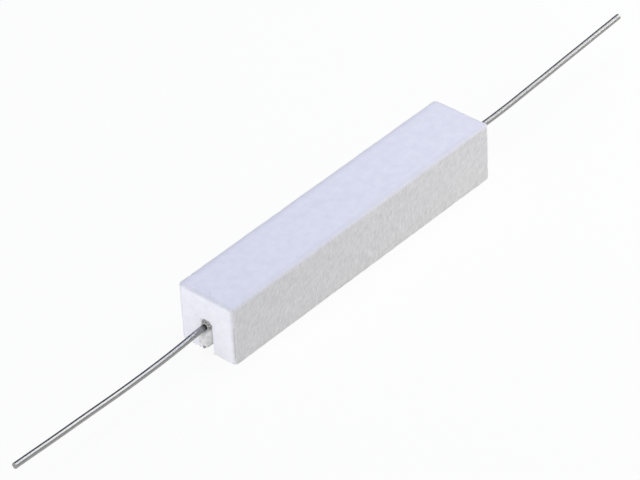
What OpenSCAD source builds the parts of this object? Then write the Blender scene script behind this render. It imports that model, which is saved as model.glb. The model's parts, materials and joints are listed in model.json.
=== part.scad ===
// Axial wirewound cement resistor: a ceramic trough, lying on its open side, holds a wound
// ceramic rod in cement, and a tinned lead comes out through a slot in each end wall.
// Millimetres. X runs along the leads, Z is up, and the origin is under the middle of the case.

/* [Ceramic case] */
// Length of the case
case_l = 49; // [42:0.5:60]
// Width of the case
case_w = 9.1; // [8.6:0.1:12]
// Height of the case from its open rim to its closed roof
case_h = 8.7; // [8.4:0.1:11]
// Thickness of the two long side walls
side_wall = 1.4; // [1:0.1:1.6]
// Thickness of the two end walls
end_wall = 1.8; // [1.2:0.1:2.4]
// Thickness of the closed roof
roof = 1.4; // [1:0.1:1.8]
// Radius of the outer edges round the roof and round the rim
edge_r = 0.4; // [0.2:0.05:0.5]
// Radius of the four upright outer corners
corner_r = 0.65; // [0.5:0.05:1]
// Radius of the upright corners inside the trough and of the fillets under the roof
inner_r = 0.6; // [0.3:0.1:1]
// Width of the arched slot in each end wall
slot_w = 1.8; // [1.5:0.1:2.4]

/* [Cement filling] */
// Depth of the cement below the rim where it meets the side walls
cement_drop = 0.3; // [0.1:0.05:0.6]
// Further depth of the hollow along the middle of the cement
cement_dish = 0.25; // [0.1:0.05:0.4]
// Cement between the winding, where it is widest, and the roof
crown_cover = 0.35; // [0.2:0.05:0.6]
// Depth of the cement behind the end face, in the slot
slot_recess = 0.3; // [0.2:0.05:0.9]
// Reach of the cement bead out of the slot, under the lead
bead_reach = 1.1; // [0.5:0.05:1.3]
// Height above the rim of the round underside of the bead and of the cement in the slot
bead_low = 1; // [0.8:0.05:1.5]
// Depth behind the end face at which the bead's sides leave the slot
bead_seat = 0.1; // [0.05:0.05:0.25]
// Length of the cement collar that climbs along the lead
collar_l = 0.6; // [0.2:0.05:0.8]
// Thickness of that collar at its root
collar_wall = 0.35; // [0.15:0.05:0.4]

/* [Resistance element] */
// Diameter of the ceramic core rod
rod_d = 4; // [3.2:0.1:4.2]
// Diameter of the resistance wire
wire_d = 0.35; // [0.2:0.05:0.4]
// Advance of the winding in one turn
wire_pitch = 1.5; // [1.2:0.1:2.5]
// Length of the winding that lies on each end cap
wire_lap = 1.6; // [0.8:0.1:2.2]
// Length over which the winding climbs from the rod onto a cap
wire_climb = 1.2; // [0.8:0.1:2]
// Wall of the drawn end caps
cap_wall = 0.3; // [0.2:0.05:0.35]
// Thickness of the caps' bases
cap_base = 0.4; // [0.3:0.05:0.6]
// Length of rod that a cap's skirt covers
cap_skirt = 4; // [3:0.1:6]
// Distance from an end wall's inner face to the cap's base
cap_inset = 3.4; // [2:0.1:5]

/* [Leads] */
// Diameter of the leads
lead_d = 0.8; // [0.6:0.05:1]
// Reach of each lead beyond the end of the case
lead_reach = 33; // [31:0.5:38]
// Diameter of the upset head that is welded to the cap
head_d = 1.6; // [1.2:0.1:2.4]
// Length over which the head tapers to the lead
head_l = 0.8; // [0.5:0.1:1.5]
// Straight stretch of the left lead outside the case, before its first bend
left_stub = 1.1; // [0.8:0.1:3]
// Angle by which the left lead first turns down
left_droop_angle = 4.5; // [1:0.5:8]
// Radius of that first bend
left_droop_r = 6; // [3:0.5:10]
// Straight stretch of the left lead between its two bends
left_run = 1.5; // [0.5:0.1:4]
// Angle by which the left lead then curves back up
left_lift_angle = 6; // [2:0.25:10]
// Radius of that long curve
left_lift_r = 125; // [90:5:160]
// Straight stretch of the right lead outside the case, before its bend
right_stub = 4.5; // [1:0.5:8]
// Angle by which the right lead turns up
right_lift_angle = 3.6; // [1:0.2:6]
// Radius of that bend
right_lift_r = 120; // [60:5:160]
// Amount by which a lead's radius shrinks where it is stretched in a bend
bend_neck = 0.004; // [0.002:0.001:0.01]

/* [Fits] */
// Room between the cement and the pieces that it holds
bond_gap = 0.02; // [0.01:0.01:0.05]
// Room between a cap's skirt and the rod
cap_fit = 0.02; // [0.01:0.01:0.05]
// Room between the winding and the rod or cap under it
wire_seat = 0.04; // [0.03:0.01:0.08]

/* [Hidden] */
$fn = 96;

// Overlap of a cutting shape past the face that it cuts
past = 1;

// Trough
cavity_l = case_l - 2 * end_wall;
cavity_w = case_w - 2 * side_wall;
cavity_top = case_h - roof;

// Resistance element, from its middle outwards
rod_r = rod_d / 2;
cap_bore_r = rod_r + cap_fit;
cap_r = cap_bore_r + cap_wall;
wire_r = wire_d / 2;
rod_path_r = rod_r + wire_seat + wire_r;
cap_path_r = cap_r + wire_seat + wire_r;
wound_r = cap_path_r + wire_r + bond_gap;
axis_z = cavity_top - crown_cover - wound_r;
cap_face = cavity_l / 2 - cap_inset;
rod_l = 2 * (cap_face - cap_base);
skirt_edge = rod_l / 2 - cap_skirt;
lap_end = skirt_edge + wire_lap;

// Winding
wire_sides = 6;
rings_per_turn = 20;
turns = 2 * lap_end / wire_pitch;
wire_rings = round(turns * rings_per_turn);

// Slot and bead
slot_r = slot_w / 2;
bead_r = (axis_z - bead_low) / 2;
bead_plan = bead_reach + bead_seat;
bead_plan_r = (bead_plan * bead_plan + slot_r * slot_r) / (2 * bead_plan);

// Hollow along the cement, an arc that spans the trough
dish_r = (pow(cavity_w / 2, 2) + pow(cement_dish, 2)) / (2 * cement_dish);

// Leads, whose way out of the case starts at the weld on the cap
wire_fn = 48;
bend_fn = 720;
lead_r = lead_d / 2;
embed_l = case_l / 2 - cap_face;
left_bends = [[-left_droop_angle, left_droop_r, left_run], [left_lift_angle, left_lift_r, 0]];
right_bends = [[right_lift_angle, right_lift_r, 0]];

// Direction of a lead after its first n bends
function heading(bends, n) = n == 0 ? 0 : heading(bends, n - 1) + bends[n - 1][0];

// Reach along X of bend n and of the straight stretch that follows it
function bend_reach(bends, n) = let (bend = bends[n], into = heading(bends, n), out = heading(bends, n + 1))
    sign(bend[0]) * bend[1] * (sin(out) - sin(into)) + bend[2] * cos(out);

// Reach along X of a lead's first n bends
function bends_reach(bends, n) = n == 0 ? 0 : bends_reach(bends, n - 1) + bend_reach(bends, n - 1);

// Length of the straight tail that brings a lead's tip to its full reach
function tail_length(stub, bends) =
    (lead_reach - stub - bends_reach(bends, len(bends))) / cos(heading(bends, len(bends)));

// Share of the climb from the rod to a cap that the winding has made at x
function climbed(x) = let (start = skirt_edge - wire_r - wire_climb)
    min(1, max(0, (abs(x) - start) / wire_climb));

function eased(share) = share * share * (3 - 2 * share);

// Centre line of the winding at ring i, as x, radius and angle
function wire_x(i) = -lap_end + 2 * lap_end * i / wire_rings;
function wire_path_r(i) = rod_path_r + (cap_path_r - rod_path_r) * eased(climbed(wire_x(i)));
function wire_angle(i) = 360 * turns * i / wire_rings;

// Point k of ring i of the winding's surface
function wire_point(i, k) =
    let (around = 360 * k / wire_sides, r = wire_path_r(i) + wire_r * cos(around), a = wire_angle(i))
    [wire_x(i) + wire_r * sin(around), r * cos(a), r * sin(a)];

// Rectangle with rounded corners, centred on its origin
module rounded_rectangle(size, r) {
    square([size.x - 2 * r, size.y], center = true);
    square([size.x, size.y - 2 * r], center = true);
    for (x = [-1, 1], y = [-1, 1])
        translate([x * (size.x / 2 - r), y * (size.y / 2 - r)])
            circle(r);
}

// Outside of the case, with its upright corners and its upper and lower edges rounded
module case_block() {
    translate([0, 0, case_h / 2])
        intersection() {
            linear_extrude(case_h, center = true)
                rounded_rectangle([case_l, case_w], corner_r);
            rotate([90, 0, 0])
                linear_extrude(case_w, center = true)
                    rounded_rectangle([case_l, case_h], edge_r);
            rotate([90, 0, 90])
                linear_extrude(case_l, center = true)
                    rounded_rectangle([case_w, case_h], edge_r);
        }
}

// Space inside the trough, running out through its open side
module trough_space() {
    intersection() {
        translate([0, 0, -past])
            linear_extrude(cavity_top + past)
                rounded_rectangle([cavity_l, cavity_w], inner_r);
        translate([0, 0, -past])
            rotate([90, 0, 90])
                linear_extrude(cavity_l + 2 * past, center = true)
                    translate([0, (cavity_top + past) / 2])
                        rounded_rectangle([cavity_w, cavity_top + past], inner_r);
    }
}

// Arched slot of both end walls, as one long bar that reaches x = half to each side
module slot_bar(half) {
    rotate([90, 0, 90])
        linear_extrude(2 * half, center = true) {
            translate([0, axis_z])
                circle(slot_r);
            translate([-slot_r, -past])
                square([slot_w, axis_z + past]);
        }
}

// Round bar along X, from x = from to x = to, on the element's axis
module axis_bar(r, from, to) {
    translate([from, 0, axis_z])
        rotate([0, 90, 0])
            cylinder(h = to - from, r = r);
}

// Cement of both slots with its round underside, as one long bar that reaches x = half to each side
module plug_bar(half) {
    rotate([90, 0, 90])
        linear_extrude(2 * half, center = true)
            translate([0, bead_low + slot_r]) {
                circle(slot_r);
                translate([-slot_r, 0])
                    square([slot_w, axis_z]);
            }
}

// Cement bead that swells out of one slot, under the lead
module bead() {
    intersection() {
        plug_bar(case_l / 2 + bead_reach + past);
        translate([case_l / 2 + bead_reach - bead_r, 0, bead_low + bead_r])
            rotate([90, 0, 0])
                cylinder(h = 2 * slot_w, r = bead_r, center = true);
        union() {
            translate([case_l / 2 + bead_reach - bead_plan_r, 0, 0])
                cylinder(h = axis_z, r = bead_plan_r);
            translate([case_l / 2 - end_wall, -slot_w, 0])
                cube([end_wall - bead_seat, 2 * slot_w, axis_z]);
        }
    }
}

// Room under the cement in one slot, where it slumped away from the rim as it was poured
module slump_space() {
    difference() {
        translate([case_l / 2 - end_wall, -slot_w, -past])
            cube([end_wall, 2 * slot_w, bead_low + slot_r + past]);
        plug_bar(case_l);
    }
}

// Cement collar along one lead, where it leaves the slot
module collar() {
    translate([case_l / 2 - slot_recess, 0, axis_z])
        rotate([0, 90, 0])
            cylinder(h = collar_l, r1 = lead_r + collar_wall, r2 = lead_r + 2 * bond_gap);
}

// Space that the wound element and its leads take up in the cement
module element_space() {
    axis_bar(rod_path_r + wire_r + bond_gap, -skirt_edge, skirt_edge);
    axis_bar(cap_r + bond_gap, -cap_face, cap_face);
    axis_bar(lead_r + bond_gap, -case_l, case_l);
    for (side = [0, 1])
        mirror([side, 0, 0]) {
            axis_bar(wound_r, skirt_edge - wire_r - wire_climb, lap_end + wire_r + bond_gap);
            translate([cap_face, 0, axis_z])
                rotate([0, 90, 0])
                    cylinder(h = head_l, r1 = head_d / 2 + bond_gap, r2 = lead_r + bond_gap);
        }
}

// Lead that runs along +X from the weld on the cap, through its bends, to its tip
module lead(stub, bends) {
    translate([cap_face, 0, axis_z])
        rotate([0, 90, 0]) {
            cylinder(h = head_l, r1 = head_d / 2, r2 = lead_r, $fn = wire_fn);
            cylinder(h = embed_l + stub, r = lead_r, $fn = wire_fn);
            translate([0, 0, embed_l + stub])
                bent_end(bends, tail_length(stub, bends));
        }
}

// Bends of a lead and the straight stretches after them, starting along +Z and turning in the plane
// of X and Z; the last stretch is the tail
module bent_end(bends, tail, i = 0) {
    angle = bends[i][0];
    r = bends[i][1];
    turn = sign(angle);
    last = i == len(bends) - 1;
    straight = last ? tail : bends[i][2];
    translate([-turn * r, 0, 0]) {
        mirror([turn > 0 ? 0 : 1, 0, 0])
            rotate([90, 0, 0])
                rotate_extrude(angle = abs(angle), $fn = bend_fn)
                    translate([r, 0])
                        circle(lead_r - bend_neck, $fn = wire_fn);
        rotate([0, -angle, 0])
            translate([turn * r, 0, 0]) {
                cylinder(h = straight, r = lead_r, $fn = wire_fn);
                if (!last)
                    translate([0, 0, straight])
                        bent_end(bends, tail, i + 1);
            }
    }
}

// Drawn cup that is pressed over one end of the rod
module end_cap() {
    color("lightgray")
        difference() {
            axis_bar(cap_r, skirt_edge, cap_face);
            axis_bar(cap_bore_r, skirt_edge - past, rod_l / 2);
        }
}

module ceramic_case() {
    color("ghostwhite")
        difference() {
            case_block();
            trough_space();
            slot_bar(case_l / 2 + past);
        }
}

module cement_filling() {
    color("gainsboro")
        difference() {
            union() {
                trough_space();
                slot_bar(case_l / 2 - slot_recess);
                for (side = [0, 1])
                    mirror([side, 0, 0]) {
                        bead();
                        collar();
                    }
            }
            translate([0, 0, cement_drop + cement_dish - dish_r])
                rotate([0, 90, 0])
                    cylinder(h = case_l, r = dish_r, center = true, $fn = 360);
            for (side = [0, 1])
                mirror([side, 0, 0])
                    slump_space();
            element_space();
        }
}

module core_rod() {
    color("wheat")
        axis_bar(rod_r, -rod_l / 2, rod_l / 2);
}

module resistance_wire() {
    last = wire_rings * wire_sides;
    color("dimgray")
        translate([0, 0, axis_z])
            polyhedron(
                points = [for (i = [0:wire_rings], k = [0:wire_sides - 1]) wire_point(i, k)],
                faces = concat(
                    [[for (k = [0:wire_sides - 1]) k]],
                    [for (i = [0:wire_rings - 1], k = [0:wire_sides - 1])
                        let (a = i * wire_sides + k, b = i * wire_sides + (k + 1) % wire_sides)
                        [a, a + wire_sides, b + wire_sides, b]],
                    [[for (k = [wire_sides - 1:-1:0]) last + k]]));
}

module end_cap_left() mirror([1, 0, 0]) end_cap();
module end_cap_right() end_cap();

module lead_wire_left() {
    color("silver")
        mirror([1, 0, 0])
            lead(left_stub, left_bends);
}

module lead_wire_right() {
    color("silver")
        lead(right_stub, right_bends);
}

ceramic_case();
cement_filling();
core_rod();
resistance_wire();
end_cap_left();
end_cap_right();
lead_wire_left();
lead_wire_right();
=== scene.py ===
# %% [markdown]
# # A cement resistor
#
# A power resistor of the cement kind is a white ceramic trough with a wound rod set in cement inside it. It
# lies here on its open side, so the closed roof is on top, and a tinned lead leaves each end through a
# slot. The construction is already fixed. This lesson loads it, and then models each piece that shows once
# more, with the fine wear and finish that solids leave out.

# %% Load the frame and keep its box
import json
import math
import random

import bmesh
import bpy
from mathutils import Matrix, Vector, noise


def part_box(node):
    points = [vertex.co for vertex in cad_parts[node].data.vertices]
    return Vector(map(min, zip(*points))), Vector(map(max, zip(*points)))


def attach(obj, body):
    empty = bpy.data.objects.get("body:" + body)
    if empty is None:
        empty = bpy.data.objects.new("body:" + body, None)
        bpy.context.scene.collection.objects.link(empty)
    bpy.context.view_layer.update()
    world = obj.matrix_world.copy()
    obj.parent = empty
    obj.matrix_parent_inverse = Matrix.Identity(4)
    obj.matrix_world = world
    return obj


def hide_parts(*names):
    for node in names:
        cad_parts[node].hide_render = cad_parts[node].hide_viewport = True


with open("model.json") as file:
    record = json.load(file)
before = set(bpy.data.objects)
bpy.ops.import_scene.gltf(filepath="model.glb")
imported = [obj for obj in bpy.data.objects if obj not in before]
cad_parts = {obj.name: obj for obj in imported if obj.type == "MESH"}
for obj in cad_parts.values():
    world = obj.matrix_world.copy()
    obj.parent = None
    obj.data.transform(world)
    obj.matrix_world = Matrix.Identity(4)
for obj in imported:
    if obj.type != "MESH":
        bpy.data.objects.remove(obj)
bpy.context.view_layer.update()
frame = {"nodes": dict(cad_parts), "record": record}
print("nodes:", ", ".join(sorted(frame["nodes"])))

# %% [markdown]
# ## Sizes
#
# The pieces are modelled in millimetres, because every size of a small part is a plain number there, and
# each mesh is scaled to metres when it is finished. Whatever the frame's boxes tell is read from them, so
# that the dressed pieces fit the solids. The walls and radii that no box shows are written down.

# %% Read the sizes of the case and the element
MM = 0.001


def box_mm(node):
    """Lowest and highest corner of a node, in millimetres."""
    low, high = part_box(node)
    return Vector(low) / MM, Vector(high) / MM


case_low, case_high = box_mm("ceramic_case")
cement_high = box_mm("cement_filling")[1]
rod_low, rod_high = box_mm("core_rod")
cap_low, cap_high = box_mm("end_cap_right")
wire_high = box_mm("resistance_wire")[1]
mounts = {mount["name"]: mount["dims"] for mount in frame["record"]["mounts"]}

case = case_high - case_low
half = case / 2
axis_z = (rod_low.z + rod_high.z) / 2
lead_r = mounts["lead_left"]["r_mm"]
print(f"case {case.x:.1f} x {case.y:.1f} x {case.z:.1f} mm, lead axis at z = {axis_z:.2f} mm")

# %% Write down the walls and radii, and work out the trough
end_wall = 1.8
slot_r = 0.9
edge_r = 0.4
corner_r = 0.65
inner_r = 0.6
bond_gap = 0.02
# The rounded corners of an arch leave this much flat on each side of its top, so that they don't meet.
arch_flat = 0.02

cavity_x = half.x - end_wall
cavity_y = cement_high.y
cavity_top = cement_high.z
arch_top = axis_z + slot_r
print(f"trough {2 * cavity_x:.1f} x {2 * cavity_y:.1f} mm, {cavity_top:.1f} mm deep")

# %% [markdown]
# ## The camera
#
# The photograph looks down on the part from the left and from well above, through a long lens. A camera
# could be placed by eye, but a long lens hides how far away it stands. So the angles and distances come
# from fitting a box of this size to the case's edges in the picture.

# %% Place the camera
# The distances are in millimetres, and the focal length is in pixels of the picture's width.
VIEW_AZIMUTH = math.radians(-46.74)
VIEW_ELEVATION = math.radians(37.63)
VIEW_ROLL = math.radians(-3.06)
VIEW_DISTANCE = 449.14
VIEW_CENTRE = Vector((0, 0, 4.5))
VIEW_RIGHT = 2.33
VIEW_UP = 1.523
FOCAL_PIXELS = 3567.4
IMAGE_WIDTH = 640

camera_data = bpy.data.cameras.new("camera")
camera_data.sensor_width = 36
camera_data.lens = FOCAL_PIXELS * camera_data.sensor_width / IMAGE_WIDTH
camera_data.clip_start = 0.01
camera_data.clip_end = 10
camera = bpy.data.objects.new("camera", camera_data)
bpy.context.collection.objects.link(camera)
bpy.context.scene.camera = camera

back = Vector((math.sin(VIEW_AZIMUTH) * math.cos(VIEW_ELEVATION),
               -math.cos(VIEW_AZIMUTH) * math.cos(VIEW_ELEVATION), math.sin(VIEW_ELEVATION)))
level = Vector((0, 0, 1)).cross(back).normalized()
turn = Matrix.Rotation(VIEW_ROLL, 3, back)
right = turn @ level
up = turn @ back.cross(level)
eye = (VIEW_CENTRE + back * VIEW_DISTANCE - right * VIEW_RIGHT - up * VIEW_UP) * MM
camera.matrix_world = Matrix.Translation(eye) @ Matrix((right, up, back)).transposed().to_4x4()
print(f"lens {camera_data.lens:.1f} mm, eye {eye.length / MM:.0f} mm from the origin")

# %% [markdown]
# ## Helpers for the materials
#
# Colours are written as the sRGB hex values that a colour picker shows, and one function turns them into
# the linear numbers that the shader works with. Another adds a node, sets it up and links it. Every
# pattern's scale is worked out from a size in millimetres, because a texture's own scale says little about
# the real surface.

# %% Colours and nodes
def linear(code):
    """Linear colour of an sRGB hex value such as F0F0F4."""
    parts = [int(code[i:i + 2], 16) / 255 for i in (0, 2, 4)]
    return [c / 12.92 if c <= 0.04045 else ((c + 0.055) / 1.055) ** 2.4 for c in parts] + [1.0]


def add(tree, kind, inputs=None, **settings):
    """Adds a shader node, sets its properties and sockets, and links sockets given as outputs."""
    node = tree.nodes.new(kind)
    for name, value in settings.items():
        setattr(node, name, value)
    for name, value in (inputs or {}).items():
        if isinstance(value, bpy.types.NodeSocket):
            tree.links.new(value, node.inputs[name])
        else:
            node.inputs[name].default_value = value
    return node


def new_material(name):
    """An empty material with its node tree and its Principled shader."""
    material = bpy.data.materials.new(name)
    material.use_nodes = True
    tree = material.node_tree
    return material, tree, tree.nodes["Principled BSDF"]


def per_mm(size):
    """Texture scale at which a pattern repeats about every size millimetres."""
    return 1 / (size * MM)


# %% [markdown]
# ## Floor and light
#
# A product photograph like this one is lit by large soft boxes over a white table. The floor looks white to
# the camera and to the metal, and a share of plain diffuse in it keeps the part's soft shadow. Stronger
# lamps would whiten the floor too, but they would bleach the case with it.

# %% Make the floor
# The share of the floor that is shown as plain white. The rest takes light and shadow.
FLOOR_SHOWN = 0.92
FLOOR_SIZE = 4.0

floor_bm = bmesh.new()
bmesh.ops.create_grid(floor_bm, x_segments=1, y_segments=1, size=FLOOR_SIZE / 2)
floor_mesh = bpy.data.meshes.new("floor")
floor_bm.to_mesh(floor_mesh)
floor_bm.free()
floor = bpy.data.objects.new("floor", floor_mesh)
bpy.context.collection.objects.link(floor)

floor_material, tree, shader = new_material("white paper floor")
shader.inputs["Base Color"].default_value = linear("F2F1EC")
shader.inputs["Roughness"].default_value = 0.9
path = add(tree, "ShaderNodeLightPath")
mirrored = add(tree, "ShaderNodeMath", {0: path.outputs["Is Glossy Ray"],
                                        1: path.outputs["Is Transmission Ray"]}, operation="MAXIMUM")
shown = add(tree, "ShaderNodeMath", {0: path.outputs["Is Camera Ray"], 1: mirrored.outputs[0]},
            operation="MAXIMUM")
share = add(tree, "ShaderNodeMath", {0: shown.outputs[0], 1: FLOOR_SHOWN}, operation="MULTIPLY")
glow = add(tree, "ShaderNodeEmission", {"Strength": 1.0})
mix = add(tree, "ShaderNodeMixShader", {"Fac": share.outputs[0], 1: shader.outputs[0], 2: glow.outputs[0]})
tree.links.new(mix.outputs[0], tree.nodes["Material Output"].inputs["Surface"])
floor_mesh.materials.append(floor_material)
print(f"floor {FLOOR_SIZE:.0f} m wide")

# %% [markdown]
# Light from everywhere would be simpler, but a round wire shows what it mirrors. The room above the table
# is dim, which draws the dark lines along both leads. The main box is turned so that it lies along the band
# that the wires mirror, a dim board in front fills the lower part of that band, and a small box near the
# right end makes the long wall brighter on that side.

# %% Make the room and its soft boxes
ROOM_LIGHT = 0.15

world = bpy.data.worlds.new("studio")
bpy.context.scene.world = world
world.use_nodes = True
room = world.node_tree.nodes["Background"]
room.inputs["Color"].default_value = linear("F0F2FF")
room.inputs["Strength"].default_value = ROOM_LIGHT


def soft_box(name, place, width, height, watts, colour, roll=0):
    """A rectangular area lamp that faces the part, turned about its own axis by a roll in degrees."""
    data = bpy.data.lights.new(name, "AREA")
    data.shape = "RECTANGLE"
    data.size = width
    data.size_y = height
    data.energy = watts
    data.color = linear(colour)[:3]
    lamp = bpy.data.objects.new(name, data)
    bpy.context.collection.objects.link(lamp)
    facing = Vector(place).to_track_quat("Z", "Y").to_matrix().to_4x4()
    lamp.matrix_world = Matrix.Translation(place) @ facing @ Matrix.Rotation(math.radians(roll), 4, "Z")
    print(f"{name}: {watts} W")


soft_box("main box", (0.289, -0.14, 0.384), width=0.5, height=0.23, watts=1.12, colour="FFFFFF", roll=32)
soft_box("overhead box", (0.05, 0.1, 0.7), width=0.5, height=0.5, watts=1.96, colour="C7D1FF")
soft_box("left box", (-0.77, -0.04, 0.15), width=0.7, height=0.45, watts=4.84, colour="FDFDFF")
soft_box("front board", (0.165, -0.235, 0.09), width=0.25, height=0.175, watts=0.08, colour="FFFFFF")
soft_box("front box", (0.15, -0.06, 0.05), width=0.04, height=0.04, watts=0.049, colour="FFFCEF")
bpy.context.scene.view_settings.view_transform = "Standard"

# %% [markdown]
# ## Fired ceramic
#
# The case is pressed from steatite powder and fired without a glaze, so it is white, matt and finely
# grained. The roof comes off a flat punch and is smooth. The walls are drawn along the die as the case is
# pushed out, which leaves fine slanted streaks and a coarser grain. The roof is tinted cooler and the walls
# warmer, partly as painted light that matches the blue cast from above. A picture of ceramic could be
# wrapped round the case, but noise textures on object coordinates have no seams and keep their size in
# millimetres.
# The mesh carries two attributes that the colour follows: wear, where handling greyed the edges, and grime
# in the chips.

# %% Make the fired ceramic
STREAK_LEAN = math.radians(25)
STREAK_STRETCH = 4
# The roof's finish starts under its rounded edge and is full this far below its top.
ROOF_MARGIN = 0.04


def fired_ceramic():
    """Unglazed white steatite, dry-pressed in a die: matt, with a drawn grain on its walls."""
    material, tree, shader = new_material("unglazed white steatite")
    place = add(tree, "ShaderNodeTexCoord").outputs["Object"]
    apart = add(tree, "ShaderNodeSeparateXYZ", {"Vector": place})
    roof = add(tree, "ShaderNodeMapRange", {"Value": apart.outputs["Z"], "From Min": (case.z - edge_r) * MM,
                                            "From Max": (case.z - ROOF_MARGIN) * MM})
    along = add(tree, "ShaderNodeMath", {0: apart.outputs["X"]}, operation="ABSOLUTE")
    side = add(tree, "ShaderNodeMapRange", {"Value": along.outputs[0], "From Min": half.x * MM,
                                            "From Max": (half.x - corner_r) * MM})
    wall = add(tree, "ShaderNodeMath", {0: side.outputs["Result"], 1: roof.outputs["Result"]},
               operation="SUBTRACT", use_clamp=True)

    # The streaks are 0.2 mm wide. The grain is finer than 0.1 mm and is drawn at 0.25 mm, so that it shows.
    drawn = add(tree, "ShaderNodeMapping", {"Vector": place, "Rotation": (0, STREAK_LEAN, 0),
                                            "Scale": (1, 1, STREAK_STRETCH)}, vector_type="TEXTURE")
    streaks = add(tree, "ShaderNodeTexNoise", {"Vector": drawn.outputs[0], "Scale": per_mm(0.2),
                                               "Detail": 4, "Roughness": 0.7, "Distortion": 0.4})
    grain = add(tree, "ShaderNodeTexNoise", {"Vector": place, "Scale": per_mm(0.25), "Detail": 3})
    clouds = add(tree, "ShaderNodeTexNoise", {"Vector": place, "Scale": per_mm(1.2), "Detail": 6,
                                              "Roughness": 0.75})

    streak_share = add(tree, "ShaderNodeMapRange", {"Value": streaks.outputs["Fac"], "From Min": 0.3,
                                                    "From Max": 0.7})
    cloud_share = add(tree, "ShaderNodeMapRange", {"Value": clouds.outputs["Fac"], "From Min": 0.3,
                                                   "From Max": 0.7})
    # The walls are tinted warmer and the roof cooler, partly as painted light that matches the blue cast
    # from above.
    wall_streaks_and_warm_cast = add(tree, "ShaderNodeMix", {"Factor": streak_share.outputs["Result"],
                                              "A": linear("D2D1CE"), "B": linear("F6F5F3")},
                      data_type="RGBA")
    roof_clouds_and_cool_cast = add(tree, "ShaderNodeMix", {"Factor": cloud_share.outputs["Result"],
                                              "A": linear("E9E9ED"), "B": linear("F4F4F6")},
                      data_type="RGBA")
    body = add(tree, "ShaderNodeMix", {"Factor": wall.outputs[0], "A": roof_clouds_and_cool_cast.outputs["Result"],
                                       "B": wall_streaks_and_warm_cast.outputs["Result"]}, data_type="RGBA")

    wear = add(tree, "ShaderNodeAttribute", attribute_name="wear")
    rubbed = add(tree, "ShaderNodeMath", {0: wear.outputs["Fac"], 1: grain.outputs["Fac"]},
                 operation="MULTIPLY")
    edged = add(tree, "ShaderNodeMix", {"Factor": rubbed.outputs[0], "A": body.outputs["Result"],
                                        "B": linear("C4C2BE")}, data_type="RGBA")
    grime = add(tree, "ShaderNodeAttribute", attribute_name="grime")
    stained = add(tree, "ShaderNodeMix", {"Factor": grime.outputs["Fac"], "A": edged.outputs["Result"],
                                          "B": linear("8E8A80")}, data_type="RGBA")
    tree.links.new(stained.outputs["Result"], shader.inputs["Base Color"])

    dull = add(tree, "ShaderNodeMapRange", {"Value": grain.outputs["Fac"], "To Min": 0.5, "To Max": 0.72})
    tree.links.new(dull.outputs["Result"], shader.inputs["Roughness"])
    shader.inputs["IOR"].default_value = 1.58

    pressed = add(tree, "ShaderNodeBump", {"Height": grain.outputs["Fac"], "Strength": 0.25,
                                           "Distance": 0.05 * MM})
    dragged = add(tree, "ShaderNodeBump", {"Height": streaks.outputs["Fac"], "Strength": wall.outputs[0],
                                           "Distance": 0.04 * MM, "Normal": pressed.outputs[0]})
    tree.links.new(dragged.outputs[0], shader.inputs["Normal"])
    return material


ceramic = fired_ceramic()
print("material:", ceramic.name)

# %% [markdown]
# ## Helpers for the mesh work
#
# The trough and its filling both start as a block that is cut by planes. A cut adds edges where a plane
# meets the skin, so a later step can pick the cells it needs, and a regular row of cuts makes a skin fine
# enough to wear. A subdivided cube would give even cells as well, but its edges would not lie where the
# slots begin.

# %% Blocks and cuts
# Points closer than this, in millimetres, count as one.
MERGE = 1e-4


def block(low, high):
    """A bmesh box between two corners."""
    bm = bmesh.new()
    bmesh.ops.create_cube(bm, size=1)
    bmesh.ops.scale(bm, vec=high - low, verts=bm.verts)
    bmesh.ops.translate(bm, vec=(low + high) / 2, verts=bm.verts)
    return bm


def cut(bm, axis, places):
    """Cuts the whole skin by planes square to an axis."""
    normal = Vector(1 if i == axis else 0 for i in range(3))
    for place in places:
        skin = bm.verts[:] + bm.edges[:] + bm.faces[:]
        bmesh.ops.bisect_plane(bm, geom=skin, dist=MERGE, plane_co=normal * place, plane_no=normal)


def pick_cells(bm, test):
    """Faces whose middle passes a test."""
    return [face for face in bm.faces if test(face.calc_center_median())]


def push_cells(bm, test, shift):
    """Pushes the cells whose middle passes a test, and puts walls round them."""
    cells = pick_cells(bm, test)
    grown = bmesh.ops.extrude_face_region(bm, geom=cells)["geom"]
    moved = [vert for vert in grown if isinstance(vert, bmesh.types.BMVert)]
    bmesh.ops.translate(bm, vec=shift, verts=moved)
    bmesh.ops.delete(bm, geom=[cell for cell in cells if cell.is_valid], context="FACES")


# %% Picking and rounding
# A coordinate that is this close to a place, in millimetres, lies on it.
TOUCH = 1e-3


def near(value, place):
    """True where a coordinate lies on a place."""
    return abs(value - place) < TOUCH


def pick_edges(bm, test, axis=None):
    """Edges whose ends both pass a test, and that run along an axis if one is given."""
    found = [edge for edge in bm.edges if all(test(vert.co) for vert in edge.verts)]
    if axis is None:
        return found
    return [edge for edge in found if not near(edge.verts[0].co[axis], edge.verts[1].co[axis])]


def round_edges(bm, edges, radius, segments):
    """Rounds edges to a radius."""
    bmesh.ops.bevel(bm, geom=edges, offset=radius, offset_type="OFFSET", segments=segments, profile=0.5,
                    affect="EDGES", material=-1, clamp_overlap=True)


# %% [markdown]
# ## The ceramic case
#
# The case is a block that is cut by planes along the trough and the slots. The cells under the trough are
# pushed up, the cells in the slots are taken out and bridged, and the two upper corners of each slot are
# rounded by its half width, which turns the square slot into an arch. A Boolean could cut all this too, but
# it would leave faces with many corners, which don't divide evenly when the skin is worn later.

# %% Cut the trough and the slots
def below_trough(p):
    """True on the part of the underside where the trough opens."""
    return near(p.z, 0) and abs(p.x) < cavity_x and abs(p.y) < cavity_y


def within_slot(p):
    """True within a slot's outline, before its top is rounded to an arch."""
    return abs(p.y) < slot_r and p.z < arch_top - TOUCH


def on_arch(p):
    """True on the two upper edges of the slots, before they are rounded to an arch."""
    return near(p.z, arch_top) and near(abs(p.y), slot_r) and abs(p.x) > cavity_x - TOUCH


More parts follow.
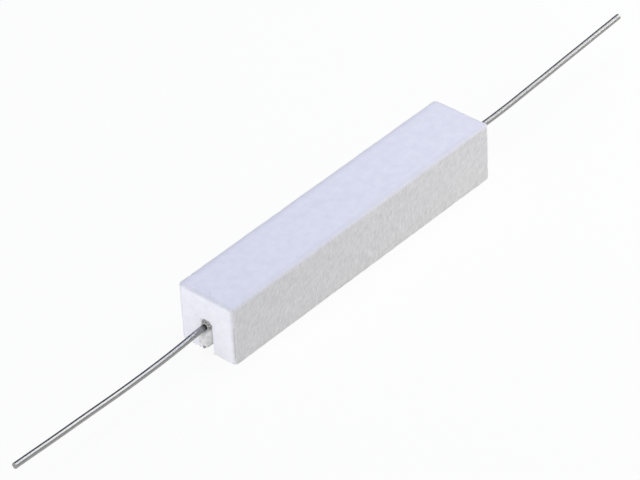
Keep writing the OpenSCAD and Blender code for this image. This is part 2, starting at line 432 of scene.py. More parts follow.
case_bm = block(case_low, case_high)
cut(case_bm, 0, (-cavity_x, cavity_x))
cut(case_bm, 1, (-cavity_y, -slot_r, slot_r, cavity_y))
push_cells(case_bm, below_trough, (0, 0, cavity_top))

cut(case_bm, 2, (arch_top,))
slot_cells = pick_cells(case_bm, lambda p: within_slot(p) and abs(p.x) > cavity_x - TOUCH)
bmesh.ops.delete(case_bm, geom=slot_cells, context="FACES")
for side in (-1, 1):
    inner = pick_edges(case_bm, lambda p: near(p.x, side * cavity_x))
    outer = pick_edges(case_bm, lambda p: near(p.x, side * half.x))
    bmesh.ops.bridge_loops(case_bm, edges=[edge for edge in inner + outer if edge.is_boundary])
round_edges(case_bm, pick_edges(case_bm, on_arch, axis=0), slot_r - arch_flat, segments=8)
print("edges that bound a hole:", sum(edge.is_boundary for edge in case_bm.edges))

# %% [markdown]
# Pressed corners are never sharp. A bevel modifier would round them all alike, so each group is picked and
# rounded by itself: the upright corners take the largest radius, then come the edges round the roof and
# round the rim, and the trough's own corners last.

# %% Round the corners and edges
def on_outside(p):
    """True on the case's four outer walls."""
    return near(abs(p.y), half.y) or abs(p.x) > half.x - corner_r - TOUCH


def flat_rims(bm):
    """Edges where the roof or the rim meets an outer wall."""
    found = []
    for edge in pick_edges(bm, lambda p: (near(p.z, 0) or near(p.z, case.z)) and on_outside(p)):
        level = [abs(face.normal.z) > 0.5 for face in edge.link_faces]
        if any(level) and not all(level):
            found.append(edge)
    return found


def on_trough_corner(p):
    """True on the trough's upright corners."""
    return near(abs(p.x), cavity_x) and near(abs(p.y), cavity_y)


def on_trough_fillet(p):
    """True on the long edges under the trough's roof."""
    return near(abs(p.y), cavity_y) and near(p.z, cavity_top)


upright = pick_edges(case_bm, lambda p: near(abs(p.x), half.x) and near(abs(p.y), half.y))
round_edges(case_bm, upright, corner_r, segments=6)
case_bm.normal_update()
round_edges(case_bm, flat_rims(case_bm), edge_r, segments=5)
inside = pick_edges(case_bm, on_trough_corner, axis=2) + pick_edges(case_bm, on_trough_fillet, axis=0)
round_edges(case_bm, inside, inner_r, segments=4)
print("faces after rounding:", len(case_bm.faces))

# %% [markdown]
# So far a wall is one large face, and a face can only be worn where it has points. Rows of cuts divide the
# skin into small cells, and the two ends, where the chips and the slots are, get finer ones.

# %% Divide the skin into cells
# The size of the cells, and the length at each end that is divided more finely.
CELL = 0.4
FINE_END = 2.2


def steps(low, high, size):
    """Places between two limits, about size apart, without the limits."""
    count = max(1, round((high - low) / size))
    return [low + (high - low) * i / count for i in range(1, count)]


def refine(bm, test, cuts):
    """Splits the cells whose middle passes a test into finer ones."""
    edges = list(dict.fromkeys(edge for cell in pick_cells(bm, test) for edge in cell.edges))
    bmesh.ops.subdivide_edges(bm, edges=edges, cuts=cuts, use_grid_fill=True)


cut(case_bm, 0, steps(-cavity_x, cavity_x, CELL))
for side in (-1, 1):
    cut(case_bm, 0, [side * x for x in steps(cavity_x, half.x - corner_r, CELL)])
cut(case_bm, 1, steps(-half.y + corner_r, half.y - corner_r, CELL))
cut(case_bm, 2, steps(edge_r, case.z - edge_r, CELL))
refine(case_bm, lambda p: abs(p.x) > half.x - FINE_END, cuts=2)
print("faces after dividing:", len(case_bm.faces))

# %% [markdown]
# A die leaves no sharp edge round a slot or along the trough. A bevel there would cut across the small
# cells, so the points on these edges are drawn towards their neighbours a few times instead.

# %% Soften the edges of the slots and the trough
# A point of an end wall that is this close to a slot's wall lies on the slot's edge.
SLOT_RIM = 0.03


def to_slot_wall(p):
    """Distance from a point in a slot to the slot's wall, with its round top."""
    return slot_r - (abs(p.y) if p.z < axis_z else math.hypot(p.y, p.z - axis_z))


def soften(bm, test, rounds):
    """Draws the points that pass a test towards the middle of their neighbours."""
    verts = [vert for vert in bm.verts if test(vert.co)]
    for i in range(rounds):
        bmesh.ops.smooth_vert(bm, verts=verts, factor=0.5, use_axis_x=True, use_axis_y=True,
                              use_axis_z=True)
    print(f"softened {len(verts)} points")


def on_trough_rim(p):
    """True on the rim's inner edge, along the trough and in the slots."""
    return near(p.z, 0) and abs(p.x) < half.x - corner_r and abs(p.y) < cavity_y + TOUCH


soften(case_bm, lambda p: near(abs(p.x), half.x) and abs(to_slot_wall(p)) < SLOT_RIM, rounds=3)
soften(case_bm, on_trough_rim, rounds=2)

# %% [markdown]
# Firing warps a case a little, and handling wears its edges and chips them. It could be sculpted by hand,
# but a script gives the same wear each time it runs: a smooth noise moves every point, a finer one eats
# into the rounded edges, and a short list places the chips and pits that this case shows.

# %% List the chips and pits
# Each mark runs from a first place to a last place, both measured from the middle of the roof's left edge.
# After them come its reach, its depth and how dark its grime is.
MARKS = (
    ((0.52, 0.44, 0), (0.56, 0.36, 0), 0.16, 0.03, 0.22),
    ((0.96, 0.05, 0), (1.00, -0.06, 0), 0.18, 0.03, 0.26),
    ((0.50, -0.12, 0), (0.54, -0.46, 0), 0.14, 0.03, 0.26),
    ((0.65, -0.75, 0), (0.50, -1.30, 0), 0.12, 0.03, 0.15),
    ((0.15, 2.0, -0.1), (0.15, 2.7, -0.1), 0.50, 0.12, 0.0),
    ((2.19, 4.5, -0.1), (2.19, 4.5, -0.1), 0.35, 0.16, 0.4),
    ((0.45, -4.35, -0.15), (0.45, -4.35, -0.4), 0.25, 0.04, 0.15),
    ((2.06, -4.3, -0.1), (2.10, -4.3, -0.1), 0.20, 0.03, 0.12),
    # A thin groove up the near upright corner, darkened along its length.
    ((0.25, -4.41, -7.55), (0.28, -4.43, -2.95), 0.14, 0.05, 0.35),
    ((0, 1.26, -3.79), (0, 1.26, -3.79), 0.20, 0.05, 0.5),
    ((0, 1.57, -3.49), (0, 1.57, -3.49), 0.16, 0.03, 0.35),
    ((0, 0.78, -3.75), (0, 0.95, -3.95), 0.20, 0.08, 0.45),
)

marks_from = Vector((case_low.x, 0, case_high.z))


def eased(share):
    """Share from 0 to 1 that starts and ends gently."""
    share = min(1, max(0, share))
    return share * share * (3 - 2 * share)


def closeness(p, first, last, reach):
    """1 on the line between two places, falling gently to 0 at its reach."""
    first = Vector(first)
    line = Vector(last) - first
    along = (p - first).dot(line) / line.length_squared if line.length else 0
    return eased(1 - (p - first - line * min(1, max(0, along))).length / reach)


print("chips and pits:", len(MARKS))

# %% Wear the skin
# The warp's depth and size, the edge wear's depth and size, and the bite that the whole of an edge shares.
WARP = 0.03
WARP_SIZE = 4
EDGE_WEAR = 0.07
EDGE_WEAR_SIZE = 0.9
EDGE_BITE = 0.2


def edge_share(p):
    """How far a point lies in a rounded edge: 0 on the flats, and about 0.7 in the middle of an edge."""
    depths = ((abs(p.x) - half.x + corner_r) / corner_r, (abs(p.y) - half.y + corner_r) / corner_r,
              (abs(p.z - half.z) - half.z + edge_r) / edge_r)
    return max(0, sorted(depths)[1])


wear_layer = case_bm.verts.layers.float.new("wear")
grime_layer = case_bm.verts.layers.float.new("grime")
case_bm.normal_update()
for vert in case_bm.verts:
    place = vert.co.copy()
    wear = edge_share(place)
    bite = max(0, noise.noise(place / EDGE_WEAR_SIZE) + EDGE_BITE)
    shift = WARP * noise.noise(place / WARP_SIZE) - EDGE_WEAR * wear * bite
    grime = 0
    for first, last, reach, depth, dirt in MARKS:
        share = closeness(place - marks_from, first, last, reach)
        shift -= depth * share
        grime = max(grime, dirt * share)
    vert[wear_layer] = wear
    vert[grime_layer] = grime
    vert.co += vert.normal * shift
    vert.co.z = max(0, vert.co.z)
print("points worn:", sum(vert[wear_layer] > 0 for vert in case_bm.verts))

# %% [markdown]
# A bmesh is only data until it becomes an object. It is scaled to metres here and shaded smooth, apart from
# its sharp edges. A plain smooth shade would be simpler, but it would smear light across the slots' edges.
# The piece is then hung on the body that it rides on and given its material, and the solid that it
# replaces is hidden.

# %% Finish the case
SHARP_ANGLE = math.radians(50)


def finish_piece(bm, name, node, material):
    """Turns a bmesh in millimetres into an object in metres that stands for a node."""
    bmesh.ops.recalc_face_normals(bm, faces=bm.faces)
    bmesh.ops.scale(bm, vec=(MM, MM, MM), verts=bm.verts)
    for face in bm.faces:
        face.smooth = True
    for edge in bm.edges:
        edge.smooth = edge.calc_face_angle(math.pi) < SHARP_ANGLE
    mesh = bpy.data.meshes.new(name)
    bm.to_mesh(mesh)
    bm.free()
    mesh.materials.append(material)
    piece = bpy.data.objects.new(name, mesh)
    bpy.context.collection.objects.link(piece)
    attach(piece, "root")
    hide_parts(node)
    print(f"{name}: {len(mesh.polygons)} faces")
    return piece


finish_piece(case_bm, "case_shell", "ceramic_case", ceramic)

# %% [markdown]
# ## Cement
#
# The filling is a mortar of fine sand that is poured over the wound rod and set. It is pale, dull and
# gritty, and its skin has pinholes. Its pale tone is partly painted light, which lifts the bead out of the
# lead's shadow. One noise could give all of it, but sand has edges and damp has none, so a coarse noise
# gives the patches of a mix that dried unevenly and a cell texture the sand. Above and beside the leads,
# speckles of painted shade darken the recess in each slot, and follow an attribute of the mesh.

# %% Make the cement
def sand_cement():
    """Fine sand mortar, poured and set without finishing: dull and gritty, and pale, partly as painted
    light.
    """
    material, tree, shader = new_material("fine sand cement")
    place = add(tree, "ShaderNodeTexCoord").outputs["Object"]
    patches = add(tree, "ShaderNodeTexNoise", {"Vector": place, "Scale": per_mm(1.6), "Detail": 5,
                                               "Roughness": 0.65})
    # Sand and grit of 0.1 mm are drawn at about 0.2 mm, so that single grains show.
    sand = add(tree, "ShaderNodeTexVoronoi", {"Vector": place, "Scale": per_mm(0.22)})
    tone = add(tree, "ShaderNodeSeparateColor", {"Color": sand.outputs["Color"]})
    grit = add(tree, "ShaderNodeTexNoise", {"Vector": place, "Scale": per_mm(0.18), "Detail": 4,
                                            "Roughness": 0.7})

    share = add(tree, "ShaderNodeMapRange", {"Value": patches.outputs["Fac"], "From Min": 0.35,
                                             "From Max": 0.65})
    # The pale tone is partly painted light, which lifts the bead out of the shadow of the lead.
    mortar_painted_paler = add(tree, "ShaderNodeMix", {"Factor": share.outputs["Result"], "A": linear("E4E3DC"),
                                         "B": linear("F2F1EC")}, data_type="RGBA")
    grains = add(tree, "ShaderNodeMix", {"Factor": tone.outputs[0], "A": linear("C2C0B8"),
                                         "B": linear("F8F7F3")}, data_type="RGBA")
    gritty = add(tree, "ShaderNodeMix", {"Factor": 0.3, "A": mortar_painted_paler.outputs["Result"],
                                         "B": grains.outputs["Result"]}, data_type="RGBA")
    # Painted shade: dark speckles in the recess above and beside each lead, read from an attribute.
    painted_recess_shade = add(tree, "ShaderNodeAttribute", attribute_name="painted_recess_shade")
    speckles = add(tree, "ShaderNodeMapRange", {"Value": grit.outputs["Fac"], "From Min": 0.4,
                                                "From Max": 0.6, "To Min": 0.4})
    dark = add(tree, "ShaderNodeMath", {0: painted_recess_shade.outputs["Fac"], 1: speckles.outputs["Result"]},
               operation="MULTIPLY")
    colour = add(tree, "ShaderNodeMix", {"Factor": dark.outputs[0], "A": gritty.outputs["Result"],
                                         "B": linear("6E6B64")}, data_type="RGBA")
    tree.links.new(colour.outputs["Result"], shader.inputs["Base Color"])
    shader.inputs["Roughness"].default_value = 0.9
    shader.inputs["IOR"].default_value = 1.5

    bump = add(tree, "ShaderNodeBump", {"Height": grit.outputs["Fac"], "Strength": 0.6,
                                        "Distance": 0.08 * MM})
    tree.links.new(bump.outputs[0], shader.inputs["Normal"])
    return material


cement = sand_cement()
print("material:", cement.name)

# %% [markdown]
# ## The cement filling
#
# The filling takes the trough's shape, because it is poured into it. A copy of the trough's inner faces
# would fit as well, but the filling stops short of the rim and needs finer cells. So it starts as a block
# of the trough's size, the cells behind the slots are pushed out to plug them, with the same arch, and the
# skin is divided again.

# %% Cast the filling and its plugs
# The open face lies this far inside the rim, and the plugs end this far inside the slots.
CEMENT_DROP = 0.3
SLOT_RECESS = 0.3
CEMENT_CELL = 0.3

cement_bm = block(Vector((-cavity_x, -cavity_y, CEMENT_DROP)), Vector((cavity_x, cavity_y, cavity_top)))
cut(cement_bm, 1, (-slot_r, slot_r))
cut(cement_bm, 2, (arch_top,))
for side in (-1, 1):
    outwards = (side * (end_wall - SLOT_RECESS), 0, 0)
    push_cells(cement_bm, lambda p: near(p.x, side * cavity_x) and within_slot(p), outwards)
round_edges(cement_bm, pick_edges(cement_bm, on_arch, axis=0), slot_r - arch_flat, segments=8)
inside = pick_edges(cement_bm, on_trough_corner, axis=2) + pick_edges(cement_bm, on_trough_fillet, axis=0)
round_edges(cement_bm, inside, inner_r, segments=4)

plug_end = half.x - SLOT_RECESS
cut(cement_bm, 0, steps(-cavity_x, cavity_x, CEMENT_CELL))
for side in (-1, 1):
    cut(cement_bm, 0, [side * x for x in steps(cavity_x, plug_end, CEMENT_CELL)])
cut(cement_bm, 1, steps(-cavity_y + inner_r, cavity_y - inner_r, CEMENT_CELL))
cut(cement_bm, 2, steps(CEMENT_DROP, arch_top, CEMENT_CELL))
refine(cement_bm, lambda p: near(abs(p.x), plug_end), cuts=3)
refine(cement_bm, lambda p: near(p.z, CEMENT_DROP), cuts=1)
print("faces of the filling:", len(cement_bm.faces))

# %% [markdown]
# In the slots the cement sank away from the rim and left a round underside that hangs lower on one side.
# The plugs' ends swell: a collar climbs along each lead, a bead hangs below it, and the skin draws back
# along the slot's walls, where cement shrinks as it sets. A ball that is joined on would be quicker, but it
# would show a crease, and poured cement has none. So a few formulas say how far each point of the skin
# moves.

# %% Shape the bead, the collar and the shrunk rim
# The bead's reach out of the case, its lowest place, the depth at which it meets the slot's walls, the
# blend of its two curves and how far its underside leans.
BEAD_REACH = cement_high.x - half.x
BEAD_LOW = 1.0
BEAD_SEAT = 0.1
BEAD_BLEND = 0.3
BEAD_LEAN = 0.4
# The collar round a lead, how far the cement draws back beside the slot's wall, and its small lumps.
COLLAR_L = 0.6
COLLAR_WALL = 0.35
SHRINK = 0.15
SHRINK_REACH = 0.3
LUMPS = 0.05
LUMP_SIZE = 0.5

bead_r = (axis_z - BEAD_LOW) / 2
bead_z = axis_z - bead_r
bead_plan = BEAD_REACH + BEAD_SEAT
bead_plan_r = (bead_plan ** 2 + slot_r ** 2) / (2 * bead_plan)
bead_out = SLOT_RECESS + BEAD_REACH


def below_lead(p):
    """0 at the height of the leads' axis and above it, and 1 on the cement's open face."""
    return max(0, (axis_z - p.z) / (axis_z - CEMENT_DROP))


def in_slot(p):
    """0 in the trough, rising to 1 in the slots."""
    return min(1, max(0, (abs(p.x) - cavity_x) / CEMENT_CELL))


def flank(p):
    """A plug's point moved towards the bead's rim, so that the steep flanks take more of the cells."""
    aside = slot_r * math.sin(p.y / slot_r * math.pi / 2)
    share = eased((axis_z - p.z) / bead_r)
    sunk = (1 - math.cos(math.pi * below_lead(p))) / 2
    level = axis_z - (axis_z - CEMENT_DROP) * sunk if p.z < axis_z else p.z
    return Vector((p.x, p.y + (aside - p.y) * share, level))


def slump(p):
    """How far the cement in a slot has sunk away from the rim, which leaves its underside round."""
    round_side = slot_r - math.sqrt(max(0, slot_r ** 2 - p.y ** 2))
    underside = BEAD_LOW + round_side - BEAD_LEAN * p.y / slot_r
    return (underside - CEMENT_DROP) * in_slot(p) * below_lead(p)


def plug_swell(p):
    """How far the cement stands out of its plug's end at a point."""
    from_lead = math.hypot(p.y, p.z - axis_z) - lead_r
    collar = COLLAR_L * eased(1 - from_lead / COLLAR_WALL)
    tall = bead_out - bead_r + math.sqrt(max(0, bead_r ** 2 - (p.z - bead_z) ** 2))
    wide = bead_out - bead_plan_r + math.sqrt(max(0, bead_plan_r ** 2 - p.y ** 2))
    # The bead is the lower of the two curves, with a smooth change from one to the other.
    part = min(1, max(0, 0.5 + 0.5 * (tall - wide) / BEAD_BLEND))
    bead = tall + (wide - tall) * part - BEAD_BLEND * part * (1 - part)
    shrink = SHRINK * eased(1 - to_slot_wall(p) / SHRINK_REACH)
    return max(collar, bead, 0) - shrink + LUMPS * noise.noise(p / LUMP_SIZE)


print(f"bead {2 * bead_r:.1f} mm tall, {BEAD_REACH:.2f} mm out of the case")

# %% [markdown]
# Speckles of painted shade darken the cement above and beside the leads, in each slot's recess. The open
# face, which lies underneath here, is left as it was poured: a little hollow, lumpy, and pierced by
# pinholes of air. Holes could be cut one by one, but at this size it is enough to lift the points round
# each of them.

# %% Paint the shade round the leads and hollow the open face
# The painted shade's strength, its reach from the lead, the share of it that is dark
# and its fade below the axis.
RECESS_SHADE = 0.9
RECESS_SHADE_REACH = 0.6
RECESS_SHADE_CORE = 0.3
RECESS_SHADE_FADE = 0.5
# The hollow of the open face, and the share and size of its broad lumps.
DISH = 0.25
BROAD_SHARE = 0.6
BROAD_SIZE = 3 * LUMP_SIZE
# The number of pinholes, their least and greatest reach, and their depth as a share of it.
PINHOLES = 60
PINHOLE_REACH = (0.15, 0.35)
PINHOLE_DEPTH = 0.6


def painted_recess_shade(p):
    """How dark the painted shade is at a point near the lead, in the slot's recess."""
    from_lead = math.hypot(p.y, p.z - axis_z) - lead_r
    upper = eased((p.z - axis_z) / RECESS_SHADE_FADE + 1)
    return RECESS_SHADE * upper * eased(1 + RECESS_SHADE_CORE - from_lead / RECESS_SHADE_REACH)


def dish(p):
    """How far the open face lies above the cement's edge at a point."""
    hollow = DISH * (1 - (p.y / cavity_y) ** 2) * (1 - in_slot(p))
    lumps = BROAD_SHARE * noise.noise(p / BROAD_SIZE) + (1 - BROAD_SHARE) * noise.noise(p / LUMP_SIZE)
    return hollow + LUMPS * lumps


draw = random.Random(5)
pinholes = []
for i in range(PINHOLES):
    place = Vector((draw.uniform(-cavity_x, cavity_x), draw.uniform(-cavity_y, cavity_y), CEMENT_DROP))
    pinholes.append((place, draw.uniform(*PINHOLE_REACH)))
print("pinholes:", len(pinholes))

# %% Move the filling's points
# The painted shade above the leads is kept as an attribute of the points.
recess_shade_layer = cement_bm.verts.layers.float.new("painted_recess_shade")
for vert in cement_bm.verts:
    place = vert.co.copy()
    ends_plug = near(abs(place.x), plug_end)
    if ends_plug:
        vert.co = flank(place)
    vert.co.z += slump(vert.co)
    if ends_plug:
        vert[recess_shade_layer] = painted_recess_shade(vert.co)
        vert.co.x += math.copysign(1, place.x) * plug_swell(vert.co)
    if near(place.z, CEMENT_DROP):
        vert.co.z += dish(place)
        for hole, reach in pinholes:
            vert.co.z += PINHOLE_DEPTH * reach * closeness(place, hole, hole, reach)
soften(cement_bm, lambda p: abs(p.x) > plug_end - SHRINK - LUMPS, rounds=2)
cement_piece = finish_piece(cement_bm, "cement_fill", "cement_filling", cement)

# %% [markdown]
# The wound rod, its caps and the leads lie in the cement. Half of the outline of the room that they take is
# drawn as a few points and spun round the leads' axis into a turned bar. The bar meets the bead's free
# skin, where no plane could cut it, so here a Boolean takes it out of the filling.

# %% Leave room for the element
# The welded head's radius and length, the height of the winding on the rod and its climb onto a cap.
HEAD_R = 0.8
HEAD_L = 0.8
WINDING = 0.39
WIRE_CLIMB = 1.4
# The bar stands out of the case, so that it cuts through the beads.
BAR_PAST = 2
BAR_SIDES = 48

cap_r = cap_high.y
wound_r = wire_high.y + bond_gap
climb_from = cap_low.x - WIRE_CLIMB
lap_to = wire_high.x + bond_gap
wound_rod_r = rod_high.y + WINDING + bond_gap
room_half = ((0, wound_rod_r), (climb_from, wound_rod_r), (climb_from, wound_r), (lap_to, wound_r),
             (lap_to, cap_r + bond_gap), (cap_high.x, cap_r + bond_gap), (cap_high.x, HEAD_R + bond_gap),
             (cap_high.x + HEAD_L, lead_r + bond_gap), (half.x + BAR_PAST, lead_r + bond_gap),
             (half.x + BAR_PAST, 0))


def turned_bar(outline):
    """Spins an outline of places along X and radii round the leads' axis, and mirrors it."""
    bm = bmesh.new()
    points = [(-x, r) for x, r in reversed(outline[1:])] + list(outline)
    verts = [bm.verts.new((x, 0, axis_z + r)) for x, r in points]
    edges = [bm.edges.new(pair) for pair in zip(verts, verts[1:])]
    bmesh.ops.spin(bm, geom=verts + edges, cent=(0, 0, axis_z), axis=(1, 0, 0), angle=2 * math.pi,
                   steps=BAR_SIDES, use_merge=True)
    bmesh.ops.remove_doubles(bm, verts=bm.verts, dist=MERGE)
    bmesh.ops.recalc_face_normals(bm, faces=bm.faces)
    bmesh.ops.scale(bm, vec=(MM, MM, MM), verts=bm.verts)
    return bm


def take_out(piece, bm):
    """Takes a bmesh in metres out of a piece with a Boolean that is applied at once."""
    tool_mesh = bpy.data.meshes.new("room")
    bm.to_mesh(tool_mesh)
    bm.free()
    tool = bpy.data.objects.new("room", tool_mesh)
    bpy.context.collection.objects.link(tool)
    boolean = piece.modifiers.new("room", "BOOLEAN")
    boolean.operation = "DIFFERENCE"
    boolean.object = tool
    ready = piece.evaluated_get(bpy.context.evaluated_depsgraph_get())
    carved = bpy.data.meshes.new_from_object(ready)
    piece.modifiers.clear()
    piece.data = carved
    bpy.data.objects.remove(tool)


take_out(cement_piece, turned_bar(room_half))
print("faces of the filling with its room:", len(cement_piece.data.polygons))

# %% [markdown]
# ## Tinned copper
#
# The leads are copper wire that was drawn through a die and dipped in tin. Tin is a soft grey metal with a
# dull gloss, and the die leaves fine lines along the wire. Object coordinates would draw those lines
# straight through the bends. The wire was straight when it was drawn, so the pattern reads each point's
# place on the straight wire, which the mesh keeps as an attribute. Next to the cement the tin is drawn
# dark as painted shade, where the lead goes in, and the right lead is a little duller than the left.

# %% Make the tinned copper
# Painted shade darkens the tin for a length outside the case, where the lead goes into the cement,
# and then clears.
ROOT_SHADE_L = 0.5
ROOT_SHADE_FADE = 0.7

embed_l = half.x - cap_high.x


def tinned_copper():
    """Copper wire, drawn and then dipped in tin: a grey metal with a dull gloss and lines along it."""
    material, tree, shader = new_material("tinned copper wire")
    straight = add(tree, "ShaderNodeAttribute", attribute_name="straight")
    apart = add(tree, "ShaderNodeSeparateXYZ", {"Vector": straight.outputs["Vector"]})
    drawn = add(tree, "ShaderNodeMapping", {"Vector": straight.outputs["Vector"], "Scale": (0.03, 1, 1)})
    # Die lines of a few micrometres are drawn 0.1 mm wide, so that they show.
    lines = add(tree, "ShaderNodeTexNoise", {"Vector": drawn.outputs[0], "Scale": per_mm(0.1), "Detail": 3})
    ripples = add(tree, "ShaderNodeTexNoise", {"Vector": straight.outputs["Vector"], "Scale": per_mm(0.6),
                                               "Detail": 4})

    bright = add(tree, "ShaderNodeMix", {"Factor": ripples.outputs["Fac"], "A": linear("8C8C8B"),
                                         "B": linear("A0A09F")}, data_type="RGBA")
    # Painted shade: the tin is drawn dark next to the cement, where the lead goes in, and clears further
    # out.
    clear = add(tree, "ShaderNodeMapRange", {"Value": apart.outputs["X"],
                                             "From Min": (embed_l + ROOT_SHADE_L) * MM,
                                             "From Max": (embed_l + ROOT_SHADE_L + ROOT_SHADE_FADE) * MM})
    colour = add(tree, "ShaderNodeMix", {"Factor": clear.outputs["Result"], "A": linear("3E3D3A"),
                                         "B": bright.outputs["Result"]}, data_type="RGBA")
    tree.links.new(colour.outputs["Result"], shader.inputs["Base Color"])
    shader.inputs["Metallic"].default_value = 1.0
    gloss = add(tree, "ShaderNodeMapRange", {"Value": lines.outputs["Fac"], "To Min": 0.16, "To Max": 0.3})
    matt = add(tree, "ShaderNodeAttribute", attribute_name="matt")
    dulled = add(tree, "ShaderNodeMath", {0: gloss.outputs["Result"], 1: matt.outputs["Fac"]},
                 operation="ADD")
    tree.links.new(dulled.outputs[0], shader.inputs["Roughness"])

    scored = add(tree, "ShaderNodeBump", {"Height": lines.outputs["Fac"], "Strength": 0.15,
                                          "Distance": 0.02 * MM})
    dipped = add(tree, "ShaderNodeBump", {"Height": ripples.outputs["Fac"], "Strength": 0.3,
                                          "Distance": 0.03 * MM, "Normal": scored.outputs[0]})
    tree.links.new(dipped.outputs[0], shader.inputs["Normal"])
    return material


tin = tinned_copper()
print("material:", tin.name)

# %% [markdown]
# ## The leads
#
# The leads were straight when they were welded on, and packing and handling have bent them since. A route
# says how: it is a row of stretches, each a length and the angle that it turns through. A curve could be
# drawn by eye instead, but a route takes the same lengths and radii as the solids.

# %% Lay out the two routes
# The straight stretches are lengths, and each bend is an angle in degrees and a radius.
LEFT_STUB = 1.1
LEFT_DROOP = (-4.5, 6)
LEFT_RUN = 1.5
LEFT_LIFT = (6, 125)
RIGHT_STUB = 4.5
RIGHT_LIFT = (3.6, 120)


def arc(angle, radius):
    """Length and turn of a bend, from its angle in degrees and its radius."""
    return abs(math.radians(angle)) * radius, math.radians(angle)


left_route = ((embed_l + LEFT_STUB, 0), arc(*LEFT_DROOP), (LEFT_RUN, 0), arc(*LEFT_LIFT),
              (mounts["lead_left"]["length_mm"], 0))
right_route = ((embed_l + RIGHT_STUB, 0), arc(*RIGHT_LIFT), (mounts["lead_right"]["length_mm"], 0))


def route_length(route):
    """Length of the straight wire that a route takes."""
    return sum(length for length, angle in route)


print(f"left lead {route_length(left_route):.1f} mm, right lead {route_length(right_route):.1f} mm")

# %% [markdown]
# A lead starts as a straight cylinder, as the wire comes off its spool. Its tip is snipped by a slanted
# plane and the snipped rim rounded. A flat end would be simpler, but cutters leave a slant.

# %% Draw and snip a straight wire
LEAD_SIDES = 32
LEAD_CELL = 0.35
SNIP_ANGLE = math.radians(9)
SNIP_RIM = 0.05


def straight_wire(length):
    """A straight wire along X with a snipped tip, divided into rings."""
    bm = bmesh.new()
    turn = Matrix.Rotation(math.pi / 2, 4, "Y")
    bmesh.ops.create_cone(bm, cap_ends=True, segments=LEAD_SIDES, radius1=lead_r, radius2=lead_r,
                          depth=length, matrix=Matrix.Translation((length / 2, 0, 0)) @ turn)
    cut(bm, 0, [HEAD_L / 2, HEAD_L] + steps(HEAD_L, length - 2 * lead_r, LEAD_CELL))
    slant = Vector((math.cos(SNIP_ANGLE), 0, -math.sin(SNIP_ANGLE)))
    tip = Vector((length, 0, -lead_r))
    skin = bm.verts[:] + bm.edges[:] + bm.faces[:]
    rim = bmesh.ops.bisect_plane(bm, geom=skin, plane_co=tip, plane_no=slant, clear_outer=True)["geom_cut"]
    rim = [edge for edge in rim if isinstance(edge, bmesh.types.BMEdge)]
    bmesh.ops.edgeloop_fill(bm, edges=rim)
    round_edges(bm, rim, SNIP_RIM, segments=3)
    return bm


# %% [markdown]
# The root of each wire flares into the head that is welded to the cap, and every ring of points is carried
# along the route. A curve with a round profile would bend as well, but it would lose each point's place on
# the straight wire, which the tin's lines follow.

# %% Bend the wires into leads
# The lead's slight sway: its depth, its length and where it starts outside the case.
WAVER = 0.03
WAVER_SIZE = 7
WAVER_FROM = 1
# How much rougher the tin of the duller lead is.
RIGHT_MATT = 0.14


def follow(route, distance):
    """Place along X and Z and heading after a distance along straight and bent stretches."""
    x = z = heading = 0
    for length, angle in route:
        part = min(distance, length)
        turn = angle * part / length
        chord = part * math.sin(turn / 2) / (turn / 2) if turn else part
        x += chord * math.cos(heading + turn / 2)
        z += chord * math.sin(heading + turn / 2)
        heading += turn
        distance -= part
    return x, z, heading


def bend_wire(bm, side, route, matt):
    """Flares the root, carries every point along the route, and keeps its place on the straight wire."""
    straight_layer = bm.verts.layers.float_vector.new("straight")
    matt_layer = bm.verts.layers.float.new("matt")
    for vert in bm.verts:
        along, y, z = vert.co
        vert[straight_layer] = Vector((along, y, z)) * MM
        vert[matt_layer] = matt
        flare = 1 + (HEAD_R / lead_r - 1) * max(0, 1 - along / HEAD_L)
        out = eased((along - embed_l - WAVER_FROM) / WAVER_SIZE)
        sway = WAVER * out * noise.noise(Vector((along / WAVER_SIZE, side, 0)))
        x, rise, heading = follow(route, along)
        vert.co = (side * (cap_high.x + x - flare * z * math.sin(heading)), flare * y + sway,
                   axis_z + rise + flare * z * math.cos(heading))


for name, side, route, matt in (("left", -1, left_route, 0), ("right", 1, right_route, RIGHT_MATT)):
    lead_bm = straight_wire(route_length(route))
    bend_wire(lead_bm, side, route, matt)
    finish_piece(lead_bm, f"lead_{name}", f"lead_wire_{name}", tin)

# %% [markdown]
# ## The pieces inside
#
# The rod, its winding and its caps are sealed in the cement. They could be modelled again, but nothing
# shows them and their solids already have the right shape. So they stay as they are, and only take the
# finishes that they would show on a case that was broken open.

# %% Make the finishes of the inner pieces
def rod_ceramic():
    """Extruded and fired alumina rod: ivory and matt, with faint lines along it."""
    material, tree, shader = new_material("extruded alumina")
    place = add(tree, "ShaderNodeTexCoord").outputs["Object"]
    drawn = add(tree, "ShaderNodeMapping", {"Vector": place, "Scale": (0.1, 1, 1)})
    # Lines of some 0.05 mm are drawn 0.3 mm wide, so that they show.
    lines = add(tree, "ShaderNodeTexNoise", {"Vector": drawn.outputs[0], "Scale": per_mm(0.3), "Detail": 3})
    colour = add(tree, "ShaderNodeMix", {"Factor": lines.outputs["Fac"], "A": linear("E2DAC8"),
                                         "B": linear("EFE9DC")}, data_type="RGBA")
    tree.links.new(colour.outputs["Result"], shader.inputs["Base Color"])
    shader.inputs["Roughness"].default_value = 0.65
    shader.inputs["IOR"].default_value = 1.76
    bump = add(tree, "ShaderNodeBump", {"Height": lines.outputs["Fac"], "Strength": 0.2,
                                        "Distance": 0.03 * MM})
    tree.links.new(bump.outputs[0], shader.inputs["Normal"])
    return material


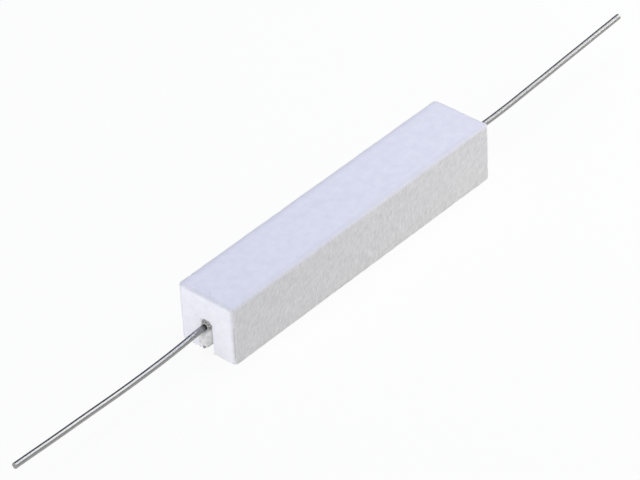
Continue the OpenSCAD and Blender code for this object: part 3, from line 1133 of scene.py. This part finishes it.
def resistance_alloy():
    """Nickel-chromium wire, drawn and left with its oxide: a brownish grey metal."""
    material, tree, shader = new_material("nickel-chromium wire")
    place = add(tree, "ShaderNodeTexCoord").outputs["Object"]
    oxide = add(tree, "ShaderNodeTexNoise", {"Vector": place, "Scale": per_mm(1.2), "Detail": 4})
    colour = add(tree, "ShaderNodeMix", {"Factor": oxide.outputs["Fac"], "A": linear("6E675E"),
                                         "B": linear("A39C92")}, data_type="RGBA")
    tree.links.new(colour.outputs["Result"], shader.inputs["Base Color"])
    shader.inputs["Metallic"].default_value = 1.0
    dull = add(tree, "ShaderNodeMapRange", {"Value": oxide.outputs["Fac"], "To Min": 0.3, "To Max": 0.55})
    tree.links.new(dull.outputs["Result"], shader.inputs["Roughness"])
    return material


def plated_steel():
    """Steel cup, deep-drawn and nickel plated: a warm bright metal with draw lines along its skirt."""
    material, tree, shader = new_material("nickel-plated steel")
    place = add(tree, "ShaderNodeTexCoord").outputs["Object"]
    drawn = add(tree, "ShaderNodeMapping", {"Vector": place, "Scale": (0.08, 1, 1)})
    # Draw lines of a few micrometres are drawn 0.2 mm wide, so that they show.
    lines = add(tree, "ShaderNodeTexNoise", {"Vector": drawn.outputs[0], "Scale": per_mm(0.2), "Detail": 3})
    colour = add(tree, "ShaderNodeMix", {"Factor": lines.outputs["Fac"], "A": linear("B9B4AA"),
                                         "B": linear("CFCBC2")}, data_type="RGBA")
    tree.links.new(colour.outputs["Result"], shader.inputs["Base Color"])
    shader.inputs["Metallic"].default_value = 1.0
    gloss = add(tree, "ShaderNodeMapRange", {"Value": lines.outputs["Fac"], "To Min": 0.2, "To Max": 0.4})
    tree.links.new(gloss.outputs["Result"], shader.inputs["Roughness"])
    return material


# %% Give the inner pieces their finishes
plated = plated_steel()
inner_finishes = {"core_rod": rod_ceramic(), "resistance_wire": resistance_alloy(),
                  "end_cap_left": plated, "end_cap_right": plated}
for node, material in inner_finishes.items():
    mesh = frame["nodes"][node].data
    mesh.materials.clear()
    mesh.materials.append(material)
    print(f"{node}: {material.name}")
